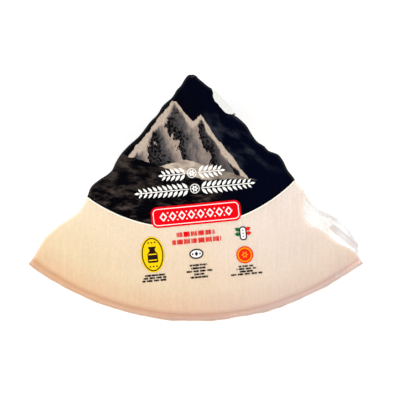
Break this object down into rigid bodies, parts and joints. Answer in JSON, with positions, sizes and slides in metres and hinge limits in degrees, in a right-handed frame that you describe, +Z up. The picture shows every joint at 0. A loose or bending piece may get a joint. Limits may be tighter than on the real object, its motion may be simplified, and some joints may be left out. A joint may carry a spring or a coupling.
{
  "type": "vacuum-packed hard cheese wedge",
  "caption": "Wedge of hard grating cheese sealed in clear printed film, with a level cut face up, rough split sides, a curved rind and a web of spare film on its right side.",
  "frame": {"origin": "on the table, below the middle of the pack's box", "axes": "+Z up through the level cut face, -Y towards the curved rind, +Y towards the wedge's point, +X to the right of someone who looks at the rind"},
  "size_m": [0.2644, 0.1948, 0.105],
  "materials": {
    "packed_cheese": "pale straw cheese seen through clear, glossy, skin-tight film with a dark printed field, a red plate and small badges"
  },
  "bodies": {
    "root": {"vacuum_pack": "packed_cheese"}
  },
  "joints": []
}
